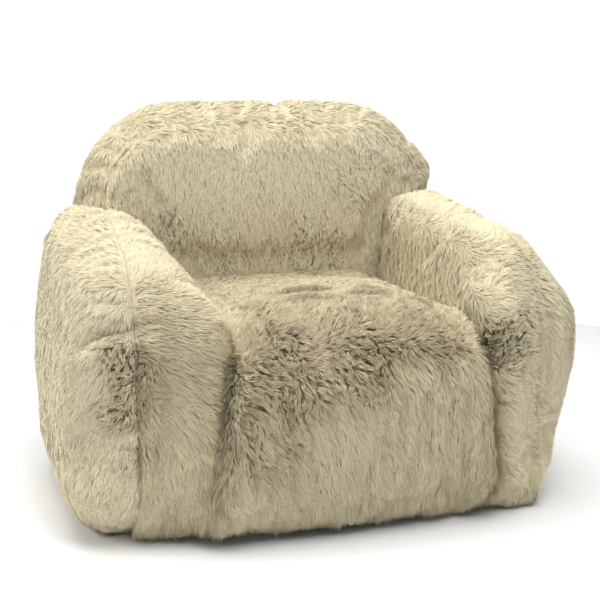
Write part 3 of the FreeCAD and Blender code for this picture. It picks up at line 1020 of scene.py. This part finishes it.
def make_base(cloth, rubber, thread):
    """The base cloth: rounded, with a stitched hem and grip dots underneath."""
    low, high = box_of("base_panel")
    half_width, half_depth = high[0], high[1]
    straight_x, straight_y = half_width - BASE_CORNER, half_depth - BASE_CORNER
    middle = BASE_RISE + BASE_CLOTH / 2
    across, deep = 69, 58
    points = []
    for y in np.linspace(-half_depth, half_depth, deep):
        for x in np.linspace(-half_width, half_width, across):
            corner_x, corner_y = abs(x) - straight_x, abs(y) - straight_y
            if corner_x > 0 and corner_y > 0:
                reach = max(corner_x, corner_y) / math.hypot(corner_x, corner_y)
                points.append((math.copysign(straight_x + corner_x * reach, x),
                               math.copysign(straight_y + corner_y * reach, y), middle))
            else:
                points.append((x, y, middle))
    points = np.array(points)
    points[:, 2] += 0.0003 * (1 + noise(points, 0.06, 71))
    base = make_cloth("base_cloth", points, across, BASE_CLOTH, cloth, "base_panel")
    hem = [(x, y, middle - BASE_CLOTH / 2) for x, y in
           rounded_outline(straight_x, straight_y, BASE_CORNER - HEM_INSET)]
    stitches = make_stitches("base_hem_stitches", hem, (0, 0, -0.6), thread)
    dots, faces = [], []
    columns = int(half_width * 2 / GRIP_PITCH) - 1
    rows = int(half_depth * 2 / GRIP_PITCH) - 1
    ring = np.linspace(2 * math.pi, 0, GRIP_SIDES, endpoint=False)
    for row in range(rows):
        for column in range(columns):
            x = (column - (columns - 1) / 2) * GRIP_PITCH
            y = (row - (rows - 1) / 2) * GRIP_PITCH
            past_x, past_y = max(abs(x) - straight_x, 0), max(abs(y) - straight_y, 0)
            if math.hypot(past_x, past_y) > BASE_CORNER - GRIP_MARGIN:
                continue
            faces += ring_faces(len(dots), len(GRIP_RINGS), GRIP_SIDES)
            for reach, height in GRIP_RINGS:
                dots += [(x + reach * math.cos(a), y + reach * math.sin(a), height) for a in ring]
    grips = mesh_of("base_grip_dots", dots, faces, rubber)
    dressed(grips, CHAIR)


def make_tape(name, inner_edge, outer_edge, material, thread):
    """One zip tape with its stitching, its sewn edge bent a little towards the bag."""
    low, high = box_of(name)
    face = high[1]
    profile = [(inner_edge, face - TAPE_THICKNESS / 2)]
    for part in np.linspace(0.15, 1, 6):
        profile.append((inner_edge + (outer_edge - inner_edge) * part,
                        face - TAPE_THICKNESS / 2 - 0.0003 * part * part))
    columns = 115
    points = np.array([(x, y, z) for z, y in profile for x in np.linspace(low[0], high[0], columns)])
    points[:, 1] -= 0.00015 * (1 + noise(points, 0.03, 72))
    tape = make_cloth(f"{name}_web", points, columns, TAPE_THICKNESS, material, name)
    seam = outer_edge + 0.003 * np.sign(inner_edge - outer_edge)
    line = [(x, face, seam) for x in np.linspace(low[0], high[0], 60)]
    stitches = make_stitches(f"{name}_stitches", line, (0, 1, 0), thread)


def make_coil(material):
    """The zip's two rows of coil, each wound round its own edge of the tape."""
    low, high = box_of("zip_coil")
    inner = box_of("zip_tape_upper")[0][2] - ZIP_HEIGHT
    outer = high[2] - ZIP_HEIGHT
    wide, deep = (outer - inner) / 2 - COIL_WIRE, (high[1] - low[1]) / 2 - COIL_WIRE
    middle_y = (low[1] + high[1]) / 2
    turns = int((high[0] - low[0]) / COIL_PITCH)
    for name, side in (("upper", 1), ("lower", -1)):
        angle = np.linspace(0, 2 * math.pi * turns, turns * 10 + 1)
        x = low[0] + COIL_WIRE + (high[0] - low[0] - 2 * COIL_WIRE) * angle / angle[-1]
        flat = np.abs(np.cos(angle)) ** 0.6 * np.sign(np.cos(angle))
        path = np.stack([x, middle_y + deep * np.sin(angle),
                         ZIP_HEIGHT + side * ((inner + outer) / 2 - wide * flat)], axis=1)
        make_wire(f"zip_coil_{name}", path, COIL_WIRE, 5, material, CHAIR, "zip_coil")


def rounded_copy(node_name, new_name, body, material, edge):
    """A small hard piece with its corners rounded, in place of its plain node."""
    piece = link("plain", NODES[node_name].data.copy())
    piece.matrix_world = NODES[node_name].matrix_world.copy()
    bevel = piece.modifiers.new("rounded", "BEVEL")
    bevel.width = edge
    bevel.segments = 3
    bevel.limit_method = "ANGLE"
    mesh = applied(piece)
    only_material(mesh, material)
    mesh.set_sharp_from_angle(angle=math.radians(35))
    dressed(link(new_name, mesh), body, node_name)


def make_crown(material):
    """The slider's crown: a low bridge over its cap, where a pull would hang."""
    low, high = box_of("zip_slider")
    centre = (low + high) / 2
    angles = np.linspace(0, math.pi, 13)
    path = np.stack([centre[0] + 0.0042 * np.cos(angles), high[1] - 0.0004 + 0.0026 * np.sin(angles),
                     np.full(13, centre[2])], axis=1)
    make_wire("zip_slider_crown", path, 0.0008, 10, material, SLIDER)


def make_care_label(form, material, thread):
    """A blank care label folded double, lying on the pile below its seam."""
    low, high = box_of("care_label")
    skin = tree_of(form)
    columns, steps = 9, 14
    heights = np.linspace(high[2] - 0.001, low[2] + 0.0008, steps)
    fold = [(z, 1) for z in heights] + [(z, 0) for z in reversed(heights)]
    points = []
    for z, layer in fold:
        part = (high[2] - z) / (high[2] - low[2])
        lift = 0.0035 + 0.0045 * part + 0.0016 * layer * math.sin(math.pi * part) ** 0.5
        for x in np.linspace(low[0], high[0], columns):
            hit = skin.ray_cast(Vector((x, 1.0, z)), Vector((0, -1, 0)))[0]
            curl = 0.0016 * math.cos(7 * (x - low[0]) / (high[0] - low[0])) * part
            points.append((x, hit.y + lift + curl + 0.0004 * layer, z))
    label = make_cloth("care_label_cloth", points, columns, LABEL_CLOTH, material,
                       "care_label")
    line = [(x, y + 0.0003, z - 0.004) for x, y, z in points[:columns]]
    stitches = make_stitches("care_label_stitches", line, (0, 1, 0), thread)


# ---- assembly

forms = chamber_forms()
panels = panel_meshes(forms)
backing = backing_material()
hair = [hair_material(f"hair_{kind}_{i}", colour)
        for kind, colours in (("root", TAUPE_ROOTS), ("tip", CREAM_TIPS))
        for i, colour in enumerate(colours)]
liner_cloth = weave_material("liner_cloth", (0.55, 0.53, 0.48), (0.8, 0.78, 0.72), 0.0008)
beads = bead_material()
form_trees = {chamber: tree_of(mesh) for chamber, mesh in forms.items()}
for chamber, form in forms.items():
    make_inside(f"{chamber}_liner", form, LINER_DEPTH, liner_cloth)
    make_inside(f"{chamber}_fill", form, STUFFING_DEPTH, beads)
for number, (panel, mesh) in enumerate(panels.items()):
    home = next((chamber for chamber in CHAMBERS if panel.startswith(chamber)), "backrest")
    make_skin(panel, mesh, backing)
    others = [tree for chamber, tree in form_trees.items() if chamber != home]
    make_pile(panel, mesh, others, hair, 100 + number)

thread = hard_material("thread", (0.62, 0.56, 0.44), 0.6)
rubber = hard_material("grip_rubber", (0.1, 0.095, 0.09), 0.75)
nylon = hard_material("zip_nylon", (0.52, 0.46, 0.35), 0.35)
steel = hard_material("zip_steel", (0.62, 0.6, 0.56), 0.32, metallic=1)
tape_cloth = weave_material("zip_tape_cloth", (0.36, 0.31, 0.23), (0.56, 0.5, 0.38), 0.0007)
base_cloth = weave_material("base_weave", (0.22, 0.19, 0.145), (0.4, 0.355, 0.275), 0.0012)
satin = weave_material("label_satin", (0.78, 0.77, 0.74), (0.92, 0.91, 0.88), 0.0004, 0.45)
make_base(base_cloth, rubber, thread)
for name, upwards in (("zip_tape_upper", 1), ("zip_tape_lower", -1)):
    inner_edge, outer_edge = [corner[2] for corner in box_of(name)][::upwards]
    make_tape(name, inner_edge, outer_edge, tape_cloth, thread)
make_coil(nylon)
rounded_copy("zip_end_stops", "zip_stops", CHAIR, steel, 0.0004)
rounded_copy("zip_slider", "zip_slider_body", SLIDER, steel, 0.0003)
make_crown(steel)
make_care_label(forms["backrest"], satin, thread)


# ---- stage, light and camera

def make_floor():
    """A plain pale floor."""
    work = bmesh.new()
    bmesh.ops.create_circle(work, cap_ends=True, segments=96, radius=1.7)
    floor = link("floor", closed_up(work, "floor"))
    looks = (("Base Color", (0.93, 0.93, 0.93, 1)),)
    floor.data.materials.append(new_material("pale_floor", 0.9, looks))


def make_lights():
    """A white studio: an even surround and a large soft light overhead."""
    world = bpy.data.worlds.new("studio")
    world.use_nodes = True
    tree = world.node_tree
    surround, backdrop = tree.nodes["Background"], tree.nodes.new("ShaderNodeBackground")
    for light, strength in ((surround, 0.34), (backdrop, 1.05)):
        light.inputs["Color"].default_value = (1, 1, 1, 1)
        light.inputs["Strength"].default_value = strength
    seen = tree.nodes.new("ShaderNodeLightPath")
    mix = tree.nodes.new("ShaderNodeMixShader")
    tree.links.new(seen.outputs["Is Camera Ray"], mix.inputs["Fac"])
    tree.links.new(surround.outputs["Background"], mix.inputs[1])
    tree.links.new(backdrop.outputs["Background"], mix.inputs[2])
    tree.links.new(mix.outputs["Shader"], tree.nodes["World Output"].inputs["Surface"])
    bpy.context.scene.world = world
    for name, place, size, power in (
        ("overhead", (-0.2, 0.0, 2.8), 3.0, 74),
        ("side", (-3.0, 0.4, 1.5), 1.8, 40),
        ("high_front", (0.2, -1.7, 2.7), 1.4, 33),
    ):
        lamp = bpy.data.lights.new(name, "AREA")
        lamp.shape = "DISK"
        lamp.size = size
        lamp.energy = power
        stand = link(name, lamp)
        stand.location = place
        aim = Vector((0, 0, 0.35)) - stand.location
        stand.rotation_euler = aim.to_track_quat("-Z", "Y").to_euler()


def make_camera():
    """The camera: a little to the left of the chair and just above it."""
    azimuth, elevation, distance = math.radians(-17.75), math.radians(11.22), 2.27
    middle = Vector((0, 0, 0.33))
    back = Vector((math.sin(azimuth) * math.cos(elevation),
                   -math.cos(azimuth) * math.cos(elevation), math.sin(elevation)))
    camera = link("camera", bpy.data.cameras.new("camera"))
    camera.data.lens = 68.0
    camera.location = middle + back * distance
    right = Vector((math.cos(azimuth), math.sin(azimuth), 0))
    target = middle + right * 0.0197 + back.cross(right) * 0.0187
    camera.rotation_euler = (target - camera.location).to_track_quat("-Z", "Y").to_euler()
    bpy.context.scene.camera = camera


make_floor()
make_lights()
make_camera()
bpy.context.scene.view_settings.view_transform = "Standard"
